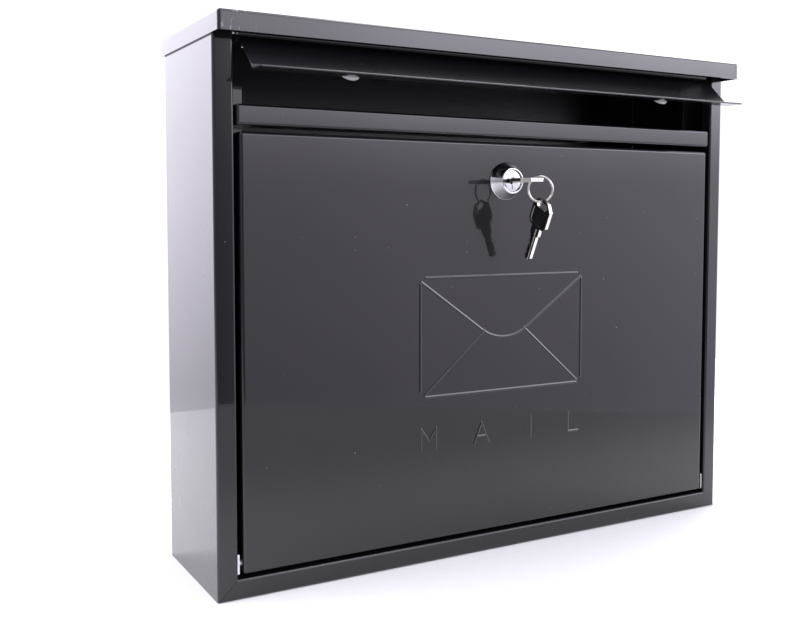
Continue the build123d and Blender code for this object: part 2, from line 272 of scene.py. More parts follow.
def tray(name, low, high, missing, radius, thickness=SHEET, steps=7):
    """A pressed sheet with rolled edges: a box without some of its sides.
    missing holds the outward directions of the sides left open."""
    obj = block(name, low, high)
    shape = bmesh.new()
    shape.from_mesh(obj.data)
    opened = [f for f in shape.faces if any(f.normal.dot(Vector(d)) > 0.9 for d in missing)]
    bmesh.ops.delete(shape, geom=opened, context="FACES")
    folds = [e for e in shape.edges if len(e.link_faces) == 2]
    bmesh.ops.bevel(shape, geom=folds, offset=radius * MM, segments=steps, profile=0.5,
                    affect="EDGES")
    shape.to_mesh(obj.data)
    shape.free()
    shell = obj.modifiers.new("thickness", "SOLIDIFY")
    shell.thickness = thickness * MM
    shell.offset = -1
    shell.use_even_offset = True
    return bake(obj)


def ridge(name, path, width, height, front, steps=8):
    """A pressed line standing out of a face that looks along -Y, with domed ends.
    The path runs in (x, z)."""
    path = [Vector(p) for p in path]
    half = width / 2
    first = (path[1] - path[0]).normalized()
    last = (path[-1] - path[-2]).normalized()
    dome_rows = 5
    lap = 0.02                  # the ridge's edges end this far behind the face
    sunk = 0.2                  # and its flat underside this far
    narrowest = 0.02            # share of the width left at the tip of a domed end
    shrink = [sin(pi / 2 * i / dome_rows) for i in range(dome_rows + 1)]
    rows = [(path[0] - first * half * sqrt(1 - k * k), first, k) for k in shrink]
    for i in range(1, len(path) - 1):
        rows.append((path[i], (path[i + 1] - path[i - 1]).normalized(), 1.0))
    rows += [(path[-1] + last * half * sqrt(1 - k * k), last, k) for k in reversed(shrink)]
    points = []
    for centre, along, k in rows:
        side = quarter_left(along) * half * max(k, narrowest)
        for j in range(steps + 1):
            u = 2 * j / steps - 1
            x, z = centre + side * u
            points.append((x, front + lap - (height + lap) * k * k * cos(pi / 2 * u) ** 2, z))
        for u in (1, -1):
            x, z = centre + side * u
            points.append((x, front + sunk, z))
    ring = steps + 3
    faces = []
    for i in range(len(rows) - 1):
        for j in range(ring):
            after = (j + 1) % ring
            faces.append([i * ring + j, i * ring + after,
                          (i + 1) * ring + after, (i + 1) * ring + j])
    end = (len(rows) - 1) * ring
    return make_object(name, points, faces + [list(range(ring)), [end + j for j in range(ring)]])


def finish(obj, body, material, replaces, edge=RIM, segments=2):
    """Break the sharp edges, smooth the bends, and tie the piece to its body and CAD node."""
    for face in obj.data.polygons:
        face.use_smooth = True
    obj.data.materials.clear()
    obj.data.materials.append(material)
    if edge:
        bevel = obj.modifiers.new("broken_edges", "BEVEL")
        bevel.width = edge * MM
        bevel.segments = segments
        bevel.limit_method = "ANGLE"
        bevel.angle_limit = SHARP
    normals = obj.modifiers.new("flat_faces", "WEIGHTED_NORMAL")
    normals.keep_sharp = True
    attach(obj, body)
    if replaces:
        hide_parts(replaces)
    return obj


# ---------------------------------------------------------------- materials
def node(tree, kind, inputs=None, **settings):
    """Add a node, set its properties, and fill inputs with values or other nodes' outputs."""
    made = tree.nodes.new(kind)
    for key, value in settings.items():
        setattr(made, key, value)
    for key, value in (inputs or {}).items():
        if isinstance(value, bpy.types.NodeSocket):
            tree.links.new(value, made.inputs[key])
        else:
            made.inputs[key].default_value = value
    return made


def noise(tree, place, scale, detail=2.0, roughness=0.5):
    """Noise between 0 and 1; scale is in features per metre."""
    made = node(tree, "ShaderNodeTexNoise", {"Vector": place, "Scale": scale, "Detail": detail,
                                             "Roughness": roughness})
    return made.outputs["Fac"]


def remap(tree, value, low, high, out_low, out_high, smooth=False):
    """A value moved from one range to another, clamped."""
    made = node(tree, "ShaderNodeMapRange", {"Value": value, "From Min": low, "From Max": high,
                                             "To Min": out_low, "To Max": out_high},
                interpolation_type="SMOOTHSTEP" if smooth else "LINEAR")
    return made.outputs["Result"]


def maths(tree, operation, a, b):
    """One arithmetic step."""
    return node(tree, "ShaderNodeMath", {0: a, 1: b}, operation=operation).outputs["Value"]


def blend(tree, factor, a, b):
    """A colour between two colours."""
    made = node(tree, "ShaderNodeMix", {"Factor": factor}, data_type="RGBA")
    for socket, value in ((made.inputs[6], a), (made.inputs[7], b)):
        if isinstance(value, bpy.types.NodeSocket):
            tree.links.new(value, socket)
        else:
            socket.default_value = value
    return made.outputs[2]


def bumps(tree, layers):
    """Stacked bump from (height, depth in metres) pairs."""
    normal = None
    for height, depth in layers:
        inputs = {"Height": height, "Distance": depth, "Strength": 1.0}
        if normal is not None:
            inputs["Normal"] = normal
        normal = node(tree, "ShaderNodeBump", inputs).outputs["Normal"]
    return normal


def new_material(name, surface):
    """A material with one Principled shader; surface(tree, place) gives its inputs."""
    material = bpy.data.materials.new(name)
    material.use_nodes = True
    tree = material.node_tree
    tree.nodes.clear()
    place = node(tree, "ShaderNodeTexCoord").outputs["Object"]
    shader = node(tree, "ShaderNodeBsdfPrincipled", surface(tree, place))
    output = node(tree, "ShaderNodeOutputMaterial")
    tree.links.new(shader.outputs["BSDF"], output.inputs["Surface"])
    return material


def specks(tree, place, cells, size, share):
    """A mask of small round specks; share is the part of the cells that hold one."""
    cell = node(tree, "ShaderNodeTexVoronoi", {"Vector": place, "Scale": cells, "Randomness": 1.0})
    spot = remap(tree, cell.outputs["Distance"], size * 0.6, size, 1.0, 0.0)
    lottery = node(tree, "ShaderNodeSeparateColor", {"Color": cell.outputs["Color"]}).outputs["Red"]
    return maths(tree, "MULTIPLY", spot, remap(tree, lottery, 1 - share, 1 - share + 0.01, 0.0, 1.0))


def inner_face(tree, place):
    """Mask of the inner face of the back wall."""
    depth = node(tree, "ShaderNodeSeparateXYZ", {"Vector": place}).outputs["Y"]
    off = maths(tree, "ABSOLUTE", maths(tree, "ADD", depth, SHEET * MM), 0.0)
    return remap(tree, off, 0.0002, 0.0006, 1.0, 0.0)


def black_paint(name, tint=(0.0084, 0.0080, 0.0100), scuffs=None, dry=None):
    """Glossy black stove paint: faint orange peel, slow waviness, dust and lint.
    scuffs and dry give masks of scratched places and of places with dry, gritty paint."""
    def surface(tree, place):
        cloud = noise(tree, place, 9.0, 3.0)
        peel = noise(tree, place, 620.0, 2.0, 0.6)
        wave = noise(tree, place, 16.0, 1.0)
        dust = specks(tree, place, 190.0, 0.05, 0.14)
        lint = specks(tree, place, 90.0, 0.035, 0.10)
        marks = maths(tree, "MAXIMUM", dust, lint)
        base = blend(tree, cloud, (*tint, 1), (tint[0] * 1.5, tint[1] * 1.5, tint[2] * 1.55, 1))
        colour = blend(tree, remap(tree, marks, 0, 1, 0, 0.55), base, (0.42, 0.42, 0.45, 1))
        gloss = remap(tree, cloud, 0.3, 0.7, 0.24, 0.34)
        gloss = maths(tree, "ADD", gloss, remap(tree, marks, 0, 1, 0, 0.4))
        layers = [(wave, 0.00016), (peel, 0.0000022), (marks, 0.00003)]
        if scuffs:
            scuff_and_glint = scuffs(tree, place)
            colour = blend(tree, scuff_and_glint, colour, (0.36, 0.35, 0.36, 1))
            gloss = maths(tree, "ADD", gloss, remap(tree, scuff_and_glint, 0, 1, 0, 0.3))
            layers.append((scuff_and_glint, -0.00004))
        if dry:
            grit = noise(tree, place, 900.0, 3.0, 0.7)
            layers.append((maths(tree, "MULTIPLY", grit, dry(tree, place)), 0.00022))
        skin = bumps(tree, layers)
        return {"Base Color": colour, "Roughness": gloss, "Normal": skin, "Coat Normal": skin,
                "Coat Weight": 1.0, "Coat Roughness": 0.035, "Coat IOR": 1.5,
                "Specular IOR Level": 0.08}
    return new_material(name, surface)


def corner_scuffs(tree, place):
    """Scratches at the front left corner of the hood, where the lid has been knocked."""
    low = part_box("hood")[0]
    axes = node(tree, "ShaderNodeSeparateXYZ", {"Vector": place}).outputs
    near_side = remap(tree, axes["X"], low.x + 0.004, low.x + 0.026, 1.0, 0.0, smooth=True)
    near_front = remap(tree, axes["Y"], low.y + 0.001, low.y + 0.006, 1.0, 0.0)
    stretched = node(tree, "ShaderNodeMapping", {"Vector": place, "Scale": (520.0, 500.0, 160.0),
                                                 "Rotation": (0, radians(24), 0)})
    flecks = noise(tree, stretched.outputs["Vector"], 1.0, 5.0, 0.75)
    scratch = remap(tree, flecks, 0.57, 0.66, 0.0, 0.85)
    return maths(tree, "MULTIPLY", maths(tree, "MULTIPLY", near_side, near_front), scratch)


def metal(name, colour, rough, grain, depth=0.000004, edges=None):
    """Bare or plated metal with smudges and fine drawn lines along the grain direction.
    edges is a painted highlight: the lighter colour of faces that don't look along X, standing in for
    the glints on a key's sides."""
    def surface(tree, place):
        smudge = noise(tree, place, 130.0, 4.0, 0.6)
        drawn = node(tree, "ShaderNodeMapping", {"Vector": place, "Scale": grain})
        lines = noise(tree, drawn.outputs["Vector"], 1.0, 3.0, 0.65)
        pits = specks(tree, place, 1100.0, 0.14, 0.10)
        darker = tuple(0.78 * c for c in colour)
        shade = blend(tree, remap(tree, smudge, 0.35, 0.75, 0, 1), (*colour, 1), (*darker, 1))
        shade = blend(tree, remap(tree, pits, 0, 1, 0, 0.35), shade, (0.12, 0.11, 0.11, 1))
        if edges:
            # painted highlight: faces that don't look along X take the lighter edges colour, for the
            # glints on the key's sides
            facing = node(tree, "ShaderNodeTexCoord").outputs["Normal"]
            sideways = node(tree, "ShaderNodeSeparateXYZ", {"Vector": facing}).outputs["X"]
            scuff_and_glint = remap(tree, maths(tree, "ABSOLUTE", sideways, 0.0), 0.75, 0.95, 1.0, 0.0)
            shade = blend(tree, scuff_and_glint, shade, (*edges, 1))
        gloss = maths(tree, "ADD", remap(tree, smudge, 0.3, 0.75, rough * 0.7, rough * 1.5),
                      remap(tree, pits, 0, 1, 0, 0.15))
        return {"Base Color": shade, "Metallic": 1.0, "Roughness": gloss,
                "Normal": bumps(tree, [(lines, depth), (pits, -0.00001)])}
    return new_material(name, surface)


def clear_rubber(name):
    """Soft clear plastic of the flap's buffers, a little cloudy, with a painted highlight: it lets
    only part of the light through, so its white shows and stands in for the bright glint on their
    rims.
    """
    def surface(tree, place):
        cloud = noise(tree, place, 420.0, 3.0)
        # painted highlight: near white, and only partly transmissive below, so the white shows as the
        # glint on the rims
        tint = blend(tree, cloud, (0.93, 0.94, 0.95, 1), (0.99, 0.99, 1.0, 1))
        return {"Base Color": tint, "Roughness": remap(tree, cloud, 0.3, 0.7, 0.03, 0.1),
                "Transmission Weight": 0.6, "IOR": 1.47,
                "Normal": bumps(tree, [(cloud, 0.00001)])}
    return new_material(name, surface)


def paper_floor(name):
    """Plain pale studio floor with painted shade: darker towards its front edge, for the shade on the
    floor in front of the box that the door reflects.
    """
    def surface(tree, place):
        fibre = noise(tree, place, 300.0, 3.0)
        shade = blend(tree, fibre, (0.87, 0.875, 0.88, 1), (0.91, 0.915, 0.92, 1))
        depth = node(tree, "ShaderNodeSeparateXYZ", {"Vector": place}).outputs["Y"]
        # painted shade: the front of the floor is coloured darker, standing in for the shade there
        painted_front_shade = remap(tree, depth, -0.38, -0.12, 1.0, 0.0, smooth=True)
        shade = blend(tree, painted_front_shade, shade, (0.45, 0.455, 0.46, 1))
        return {"Base Color": shade, "Roughness": 0.7, "Specular IOR Level": 0.0,
                "Normal": bumps(tree, [(fibre, 0.00002)])}
    return new_material(name, surface)


BODY_PAINT = black_paint("body_paint", dry=inner_face)
DOOR_PAINT = black_paint("door_paint")
HOOD_PAINT = black_paint("hood_paint", scuffs=corner_scuffs)
ZINC = metal("zinc_plate", (0.74, 0.75, 0.78), 0.26, (1500.0, 300.0, 1500.0))
CHROME = metal("chrome_plate", (0.60, 0.60, 0.615), 0.06, (60.0, 900.0, 60.0), depth=0.0000006)
KEY_METAL = metal("key_nickel", (0.80, 0.78, 0.74), 0.17, (2600.0, 240.0, 2600.0))
# painted reflection: the spare key is the same nickel as the key in the lock, coloured dark for the
# dark surroundings that its faces reflect, with a lighter colour on its sides as painted highlights
# for their glints
NICKEL_WITH_PAINTED_REFLECTION = metal("dark_nickel", (0.26, 0.25, 0.235), 0.2, (2600.0, 2600.0, 240.0),
                   edges=(0.90, 0.88, 0.84))
CLEAR = clear_rubber("clear_plastic")

# ---------------------------------------------------------------- places from the CAD
BODY_LOW, BODY_HIGH = box("body_wrap")
HALF = BODY_HIGH.x                  # side wall
FRONT = BODY_LOW.y                  # flange plane
UNDER = BODY_LOW.z                  # underside
WALL_TOP = BODY_HIGH.z
FLANGE = 11.0                       # width of the flange round the opening
FLANGE_RETURN = 8.0                 # depth of the flange's folded inner edge
OPENING_HALF = HALF - FLANGE
RETURN_END = FRONT + FLANGE_RETURN
FLANGE_SPRING = 0.55                # the bend is a little open, so the flange's inner edge leads
RETURN_LEAN = 0.3                   # the folded inner edge leans away from the opening
RETURN_BEND = 1.2                   # bend radius of the folded inner edge
FRONT_BEND = 1.7                    # of the front edges
REAR_BEND = 3.0                     # of the rear edges
FLOOR_BEND = 2.0                    # of the floor's tabs, the door and the flap's lip
THROUGH = 3.0                       # how far cutters reach past the sheet that they cut


# ---------------------------------------------------------------- body
def make_body():
    """Back and both sides folded from one sheet, with the two upright flanges."""
    right = [(HALF, 0), (HALF, FRONT + FLANGE_SPRING), (OPENING_HALF, FRONT),
             (OPENING_HALF + RETURN_LEAN, RETURN_END)]
    left = [(-x, y) for x, y in reversed(right)]
    bends = [RETURN_BEND, FRONT_BEND, REAR_BEND]
    path = rounded_path(list(reversed(right)) + list(reversed(left)), bends + bends[::-1])

    def ends(x, y):
        on_flange = abs(x) < HALF - SHEET - 0.01 and y < RETURN_END + 0.5
        mitre = HALF - abs(x) if on_flange else 0
        return UNDER + mitre, WALL_TOP

    body = folded_sheet("painted_body", path, lambda x, y, z: (x, y, z), ends, spans=3)
    pattern = next(m["dims"] for m in frame["record"]["mounts"] if m["name"] == "wall_holes")
    holes = []
    for x in (-pattern["spacing_x_mm"] / 2, pattern["spacing_x_mm"] / 2):
        for z in (-pattern["spacing_y_mm"] / 2, pattern["spacing_y_mm"] / 2):
            holes.append(rod("hole", pattern["hole_r_mm"], (x, -THROUGH, z), (x, SHEET, z)))
    cut(body, holes)
    finish(body, "box", BODY_PAINT, "body_wrap")


def make_base():
    """Bottom sheet with the mitred lower flange and upturned weld tabs."""
    inner = HALF - SHEET - 0.1
    rear = -SHEET - 0.1
    tab = 9.0                   # height of the weld tabs
    clear_bend = 4.0            # the rear corners are cut in, clear of the body's rear bends
    notch = -5.2                # from here to the rear
    step = 0.02                 # the width changes over this length
    path = rounded_path([(RETURN_END, UNDER + FLANGE + 0.1), (FRONT, UNDER + FLANGE),
                         (FRONT + 0.25, UNDER), (rear, UNDER), (rear, UNDER + tab)],
                        [RETURN_BEND, FRONT_BEND, FLOOR_BEND])
    rear_bend = len(path) - BEND_STEPS - 2
    steps = (RETURN_END, RETURN_END + step, notch, notch + step)
    path[rear_bend:rear_bend] = [Vector((y, UNDER)) for y in steps]

    def ends(y, z):
        half = inner
        if y <= RETURN_END + step / 2:
            half = HALF - (z - UNDER)
        elif y >= notch + step / 2:
            half = HALF - clear_bend
        return -half, half

    base = folded_sheet("painted_base", path, lambda y, z, x: (x, y, z), ends)
    tab_low = UNDER + 0.06
    tab_foot = 7.0
    tabs = []
    for side in (-1, 1):
        fold = rounded_path([(side * (inner - tab_foot), tab_low), (side * inner, tab_low),
                             (side * inner, UNDER + tab)], [FLOOR_BEND])
        tabs.append(folded_sheet("tab", fold, lambda x, z, y: (x, y, z),
                                 lambda x, z: (RETURN_END + 4, rear - 6),
                                 thickness=side * SHEET * 0.96))
    join(base, tabs)
    finish(base, "box", BODY_PAINT, "base_pan")


def make_hood():
    """Lid with rolled edges, a skirt on three sides, a hem and weld beads by the front corners."""
    low, high = box("hood")
    roll = 1.6
    hood = tray("painted_hood", low, high, [(0, 1, 0), (0, 0, -1)], roll)
    leaf_thickness = 0.8
    hem_height = 4.0
    hem_y = low.y + SHEET + leaf_thickness + 0.05
    hem_z = low.z + 0.05
    hem = rounded_path([(hem_y, low.z + hem_height), (hem_y, hem_z), (low.y + 0.3, hem_z)],
                       [0.8], steps=6)
    leaf = folded_sheet("hem", hem, lambda y, z, x: (x, y, z),
                        lambda y, z: (low.x + 3, high.x - 3), thickness=-leaf_thickness)
    bead_width, bead_height, bead_inset = 0.9, 0.14, 2.7
    beads = []
    for side in (-1, 1):
        x = side * (high.x - bead_inset)
        beads.append(ridge("bead", [(x, low.z + 0.5), (x, high.z - roll - 0.4)],
                           bead_width, bead_height, low.y + 0.1))
    join(hood, [leaf] + beads)
    finish(hood, "box", HOOD_PAINT, "hood", edge=0.2)


def make_rail():
    """Folded bar between the letter slot and the door."""
    bend = 1.4
    rail = tray("painted_rail", *box("slot_rail"), [(0, 1, 0)], bend)
    finish(rail, "box", BODY_PAINT, "slot_rail")


# ---------------------------------------------------------------- letter flap
FLAP_DROP = radians(43)             # the plate's angle below level at rest
FLAP_PLATE = 30.1                   # hinge line to the bend
FLAP_LIP = 12.4                     # bend to the free edge


def make_flap():
    """Flap sheet with its finger lip, rolled on to the hinge rod."""
    low, high = box("letter_flap")
    rod_low, rod_high = box("flap_hinge_rod")
    axis = Vector(((rod_low.y + rod_high.y) / 2, (rod_low.z + rod_high.z) / 2))
    down = Vector((-cos(FLAP_DROP), -sin(FLAP_DROP)))
    bend = axis + down * FLAP_PLATE
    plate_start = 1.96          # inside the wall of the eye
    path = rounded_path([axis + down * plate_start, bend, bend + Vector((-FLAP_LIP, 0))],
                        [FLOOR_BEND])

    def place(y, z, x):
        return (x, y, z)

    flap = folded_sheet("painted_flap", path, place, lambda y, z: (low.x, high.x), spans=2)
    play = 0.06
    bore = (rod_high.z - rod_low.z) / 2 + play
    count = 40
    knuckle = arc(axis, axis + Vector((0, bore)), 2 * pi, count)
    outer = [axis + (p - axis) * ((bore + SHEET) / bore) for p in knuckle]
    points = [place(p.x, p.y, x) for x in (low.x, high.x) for p in knuckle[:-1] + outer[:-1]]
    faces = []
    for i in range(count):
        j = (i + 1) % count
        near, far = 0, 2 * count
        faces.append([near + i, near + j, far + j, far + i])
        faces.append([near + count + i, far + count + i, far + count + j, near + count + j])
        for end in (near, far):
            faces.append([end + i, end + count + i, end + count + j, end + j])
    join(flap, [make_object("knuckle", points, faces)])
    finish(flap, "flap", BODY_PAINT, "letter_flap", edge=0.38, segments=4)


def make_buffer(name, cad):
    """Clear round buffer with a rolled rim and a shallow dimple."""
    low, high = box(cad)
    centre = (low + high) / 2
    radius = (high.x - low.x) / 2
    face = 2.4 / 2              # half the thickness
    rim = 0.7
    turns = [radians(18 * i) for i in range(6)]
    dimple = ((0.62, 0.1), (0.3, 0.4), (0, 0.5))    # share of the radius, depth
    profile = [(0, -face), (radius - rim, -face)]
    profile += [(radius - rim + rim * sin(a), -face + rim - rim * cos(a)) for a in turns[1:]]
    profile += [(radius - rim + rim * cos(a), face - rim + rim * sin(a)) for a in turns]
    profile += [(radius * share, face - depth) for share, depth in dimple]
    disc = lathe(name, profile, 0, 0, sides=64)
    lean = Matrix.Rotation(FLAP_DROP - pi / 2, 4, "X")
    disc.data.transform(Matrix.Translation(centre * MM) @ lean)
    finish(disc, "flap", CLEAR, cad, edge=0)


# ---------------------------------------------------------------- door
HOUSING_LOW, HOUSING_HIGH = box("lock_housing")
LOCK_Z = (HOUSING_LOW.z + HOUSING_HIGH.z) / 2
BARREL_R = 8.4


def envelope_lines():
    """A closed envelope: outline, round tipped flap and two lower folds, in (x, height)."""
    half, top, bottom = 58.5, 167.5, 98.0
    gap = 3.5                   # the outline's four lines stop short of the corners
    slope = radians(35.3)
    tip_r, tip_bottom = 28.0, 130.3
    fold_x, fold_z = 14.5, 135.0
    centre = Vector((0, tip_bottom + tip_r))
    start = centre + Vector((-sin(slope), -cos(slope))) * tip_r
    tip = arc(centre, start, 2 * slope, 18)
    lines = [[(-half + gap, z), (half - gap, z)] for z in (top, bottom)]
    lines.append([(-half + 0.6, top - 2.5)] + tip + [(half - 0.6, top - 2.5)])
    for side in (-1, 1):
        lines.append([(side * half, top - gap), (side * half, bottom + gap)])
        lines.append([(side * fold_x, fold_z), (side * (half - 3), bottom + 1.5)])
    return lines


def letter_lines():
    """Four plain, widely spaced capitals of a generic word, in straight strokes (x, height)."""
    low, high = 67.0, 79.5
    return [
        [(-58, low), (-58, high)], [(-58, high), (-53, 72.5)], [(-53, 72.5), (-48, high)],
        [(-48, high), (-48, low)], [(-21.5, low), (-16.2, high)], [(-16.2, high), (-10.9, low)],
        [(-19.6, 71.2), (-12.8, 71.2)], [(20, low), (20, high)], [(49, high), (49, low)],
        [(49, low), (57, low)],
    ]


def make_door():
    """Door pressed as a shallow pan, with the raised envelope and plain capitals."""
    door_low, door_high = box("door_panel")
    door = tray("painted_door", (door_low.x, FRONT, door_low.z), door_high, [(0, 1, 0)],
                FLOOR_BEND, steps=8)
    pin_low, pin_high = box("door_hinge_pin_right")
    pin_y = (pin_low.y + pin_high.y) / 2
    pin_z = (pin_low.z + pin_high.z) / 2
    pin_hole_r = 2.06
    holes = [rod("hole", BARREL_R + 0.1, (0, FRONT - THROUGH, LOCK_Z), (0, FRONT + THROUGH, LOCK_Z))]
    for side in (-1, 1):
        holes.append(rod("hole", pin_hole_r, (side * (door_high.x - THROUGH), pin_y, pin_z),
                         (side * (door_high.x + 2), pin_y, pin_z)))
    cut(door, holes)
    pressed = 0.25
    marks = []
    for lines, width in ((envelope_lines(), 2.1), (letter_lines(), 1.8)):
        for line in lines:
            line = [(x, z + UNDER) for x, z in line]
            marks.append(ridge("mark", line, width, pressed, FRONT))
    join(door, marks)
    finish(door, "door", DOOR_PAINT, "door_panel")


# ---------------------------------------------------------------- lock
def make_housing():
    """Chrome bezel with a rounded nose and a foot, and the threaded barrel behind it."""
    base_r, nose_r, bore = 11.2, 7.9, 6.48
    nose_y, back = HOUSING_LOW.y, HOUSING_HIGH.y
    nose_round = 0.6
    nose_flat = nose_r - 0.75
    profile = [(bore, nose_y + 0.35), (bore + 0.3, nose_y), (nose_flat, nose_y)]
    profile += [(nose_flat + nose_round * sin(a), nose_y + nose_round - nose_round * cos(a))
                for a in (radians(15 * i) for i in range(1, 6))]
    profile += [(base_r - 0.45, FRONT - 0.9), (base_r - 0.1, FRONT - 0.75), (base_r, FRONT - 0.5),
                (base_r, FRONT - 0.02), (BARREL_R, FRONT - 0.02)]
    pitch = 1.25
    root_r = BARREL_R - 0.35
    y = FRONT + 0.4
    profile.append((BARREL_R, y))
    while y + pitch < back - 0.6:
        profile += [(root_r, y + 0.3 * pitch), (root_r, y + 0.5 * pitch),
                    (BARREL_R, y + 0.8 * pitch), (BARREL_R, y + pitch)]
        y += pitch
    profile += [(root_r, back - 0.1), (BARREL_R - 0.5, back), (bore, back)]
    housing = lathe("chrome_bezel", profile, 0, LOCK_Z, sides=128)
    finish(housing, "door", CHROME, "lock_housing", edge=0)


def make_plug():
    """Plug with its keyway, two wards, a slit below them and a square tail for the cam."""
    low, high = box("lock_plug")
    face, tail = low.y, high.y
    shoulder = tail - 1.8
    radius = (high.x - low.x) / 2
    turn = [(0, face), (radius - 0.45, face), (radius - 0.15, face + 0.12), (radius, face + 0.45),
            (radius, shoulder), (0, shoulder)]
    plug = lathe("lock_plug_face", turn, 0, LOCK_Z)
    depth = face + 14
    ahead = face - 1
    key_half_width, key_half_height = 4, 1.2
    ward_r, ward_x, ward_z = 0.75, 0.6, 1.3
    slit_half, slit_low, slit_high = 0.28, 5.5, 2.6
    cutters = [block("keyway", (-key_half_width, ahead, LOCK_Z - key_half_height),
                     (key_half_width, depth, LOCK_Z + key_half_height))]
    for side in (-1, 1):
        x, z = ward_x * side, LOCK_Z + side * ward_z
        cutters.append(rod("ward", ward_r, (x, ahead, z), (x, depth, z), sides=20))
    cutters.append(block("slit", (-slit_half, ahead, LOCK_Z - slit_low),
                         (slit_half, face + 1.6, LOCK_Z - slit_high)))
    cut(plug, cutters)
    tail_half = 3
    square = block("tail", (-tail_half, shoulder - 0.2, LOCK_Z - tail_half),
                   (tail_half, tail, LOCK_Z + tail_half))
    join(plug, [square])
    finish(plug, "plug", CHROME, "lock_plug", edge=0.07)


# ---------------------------------------------------------------- keys
BOW_WIDTH, BOW_LENGTH = 17.0, 16.5
NECK_LENGTH, NECK_HALF = 5.5, 4
BLADE_LENGTH, BLADE_HALF = 15.5, 2.8
KEY_FACE = 1.0                      # half the thickness of a key
KEY_EDGE = 0.16                     # broken edge of a key
RIM_CORNER, NECK_CORNER = 4.0, 2.4  # cut corners of the bow, at its rim and at the neck
SLOT_INSET = 3.2                    # slot's middle below the rim
BITTING = ((2.0, 1.0), (5.0, 1.6), (8.2, 0.8), (11.0, 1.2))     # cuts: place along the blade, depth
RING_R, WIRE = 7.35, 0.6            # the ring's centre line, and the space for its wire
RING_TURN = radians(18)             # ring's plane, turned from X towards -Y
SPARE_LEAN = radians(26)            # spare key's blade end swung towards the door
SPARE_OFFSET = 3.7                  # ring's wire beside the spare key's centre line
SPARE_HANG = 2.44                   # ring's wire below the top of the spare key's bow


def plate(name, loop, bottom, top):
    """A flat plate with an outline in (x, y)."""
    count = len(loop)
    points = [(p[0], p[1], z) for z in (bottom, top) for p in loop]
    faces = [[i, (i + 1) % count, count + (i + 1) % count, count + i] for i in range(count)]
    return make_object(name, points, faces + [list(range(count)), [count + i for i in range(count)]])


def blade_outline():
    """The blade with its cuts along one edge."""
    outline = [(-BLADE_HALF, -0.6), (BLADE_HALF, -0.6), (BLADE_HALF, 1.4)]
    for y, depth in BITTING:
        outline += [(BLADE_HALF - depth, y + 0.3), (BLADE_HALF - depth, y + 1.3),
                    (BLADE_HALF, y + 2.1)]
    return outline + [(BLADE_HALF, BLADE_LENGTH - 1.6), (BLADE_HALF - 1.7, BLADE_LENGTH),
                      (-BLADE_HALF + 1.5, BLADE_LENGTH), (-BLADE_HALF, BLADE_LENGTH - 1.5)]


def key_shape(name):
    """A key lying level: bow towards -Y, blade towards +Y, neck ending at y = 0."""
    rim = -NECK_LENGTH - BOW_LENGTH
    half = BOW_WIDTH / 2
    bow = [(-half, rim + RIM_CORNER), (-half + RIM_CORNER, rim),
           (half - RIM_CORNER, rim), (half, rim + RIM_CORNER),
           (half, -NECK_LENGTH - NECK_CORNER), (half - NECK_CORNER, -NECK_LENGTH),
           (-half + NECK_CORNER, -NECK_LENGTH), (-half, -NECK_LENGTH - NECK_CORNER)]
    key = plate(name, rounded_loop(bow, 1.2), -KEY_FACE, KEY_FACE)
    neck = plate("neck", [(-NECK_HALF, -NECK_LENGTH - 0.6), (NECK_HALF, -NECK_LENGTH - 0.6),
                          (NECK_HALF, -0.8), (3.2, 0), (-3.2, 0), (-NECK_HALF, -0.8)],
                 -KEY_FACE, KEY_FACE)
    blade = plate("blade", blade_outline(), -KEY_FACE * 0.96, KEY_FACE * 0.96)
    cut(key, [neck, blade], operation="UNION")

    slot_y = rim + SLOT_INSET
    long, tall = 5.0, 1.85
    slot = rounded_loop([(-long, slot_y - tall), (long, slot_y - tall),
                         (long, slot_y + tall), (-long, slot_y + tall)], tall * 0.97, steps=8)
    beyond = 3
    cutters = [plate("slot", slot, -beyond, beyond)]
    groove_depth, groove_half, groove_x = 0.55, 0.5, 1.1
    panel_depth, border = 0.22, 1.7
    panel_start, panel_end = rim + 6.1, -NECK_LENGTH - 1.1
    panel = rounded_loop([(-half + border, panel_start), (half - border, panel_start),
                          (half - border, -NECK_LENGTH - NECK_CORNER),
                          (half - NECK_CORNER - 0.8, panel_end),
                          (-half + NECK_CORNER + 0.8, panel_end),
                          (-half + border, -NECK_LENGTH - NECK_CORNER)], 0.7)
    for side in (-1, 1):
        near, far = sorted((side * (KEY_FACE - groove_depth), side * beyond))
        x = -groove_x * side
        cutters.append(block("groove", (x - groove_half, -NECK_LENGTH + 1, near),
                             (x + groove_half, BLADE_LENGTH + 1, far)))
        near, far = sorted((side * (KEY_FACE - panel_depth), side * beyond))
        cutters.append(plate("panel", panel, near, far))
    cut(key, cutters)
    return key


def make_key():
    """The key in the lock."""
    low, high = box("lock_key")
    neck_y = low.y + BOW_LENGTH + NECK_LENGTH
    key = key_shape("key_in_lock")
    key.data.transform(Matrix.Translation(Vector((0, neck_y, (low.z + high.z) / 2)) * MM))
    finish(key, "key", KEY_METAL, "lock_key", edge=KEY_EDGE, segments=3)


